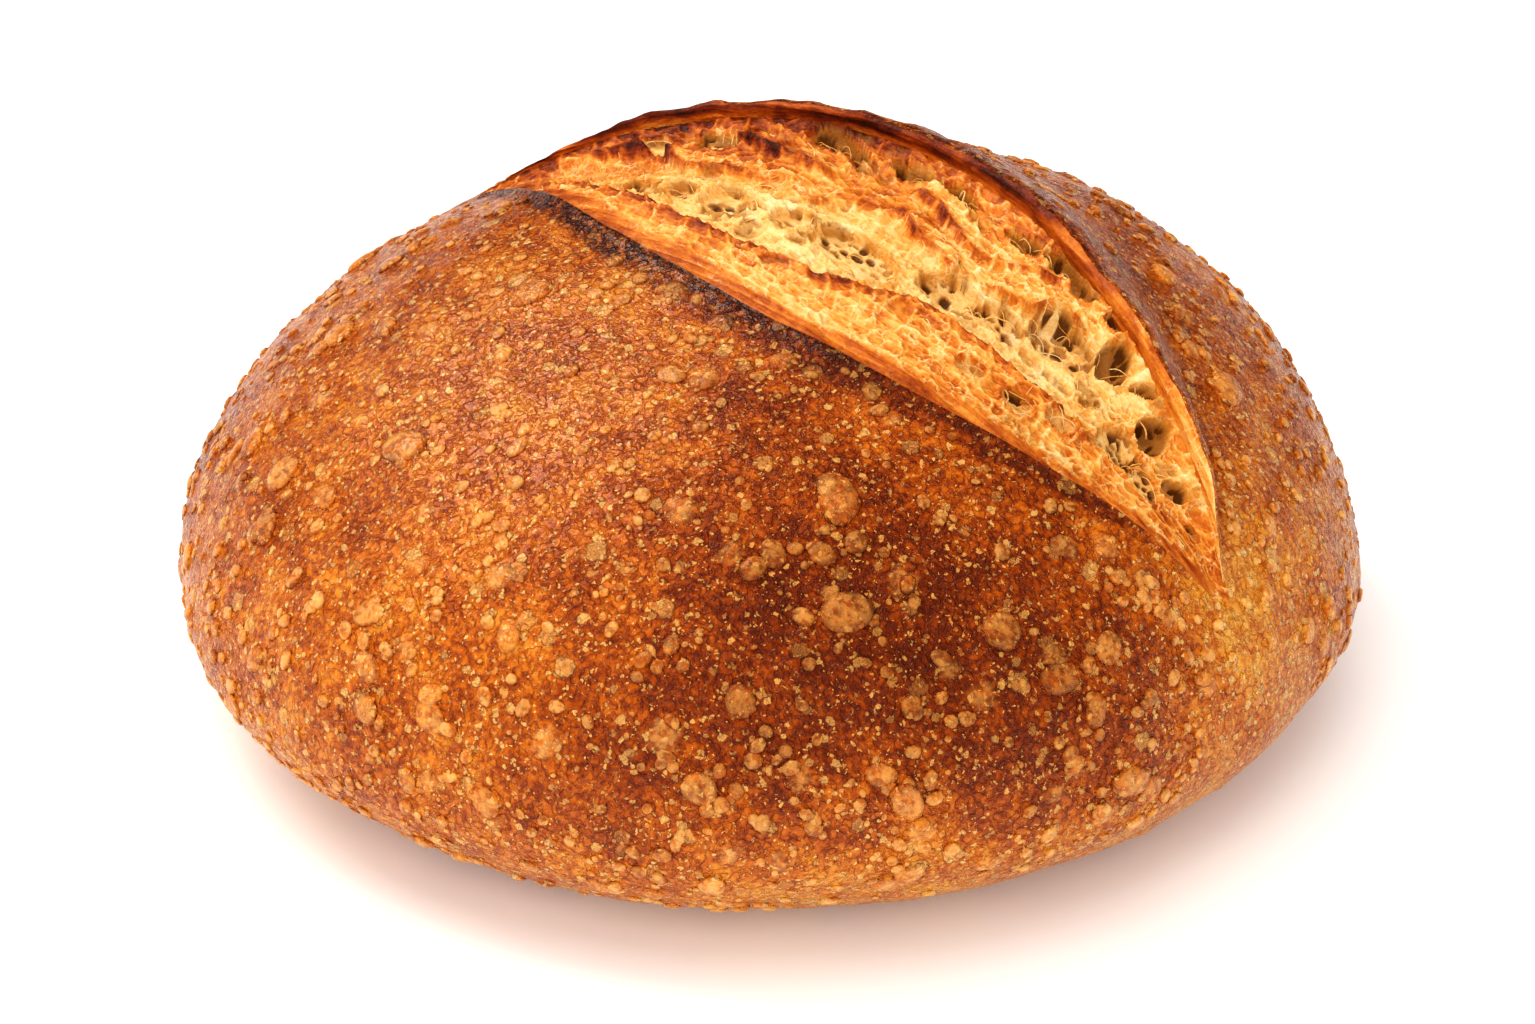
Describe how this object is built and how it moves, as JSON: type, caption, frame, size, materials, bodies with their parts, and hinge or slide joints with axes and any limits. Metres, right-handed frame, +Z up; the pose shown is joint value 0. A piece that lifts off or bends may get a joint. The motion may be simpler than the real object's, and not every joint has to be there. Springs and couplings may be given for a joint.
{
  "type": "sourdough loaf",
  "caption": "Round hearth-baked sourdough loaf with a domed, blistered crust, one long slash opened over torn crumb with a raised ear, and a flat base.",
  "frame": {"origin": "on the base, at the centre of the loaf's box", "axes": "+Z up through the crown, +X along the slash, +Y across the slash from its low front lip to its raised back lip, the ear"},
  "size_m": [0.234, 0.2354, 0.1079],
  "materials": {
    "crust": "satin",
    "crumb": "matte"
  },
  "bodies": {
    "root": {"loaf": "crust"}
  },
  "joints": []
}
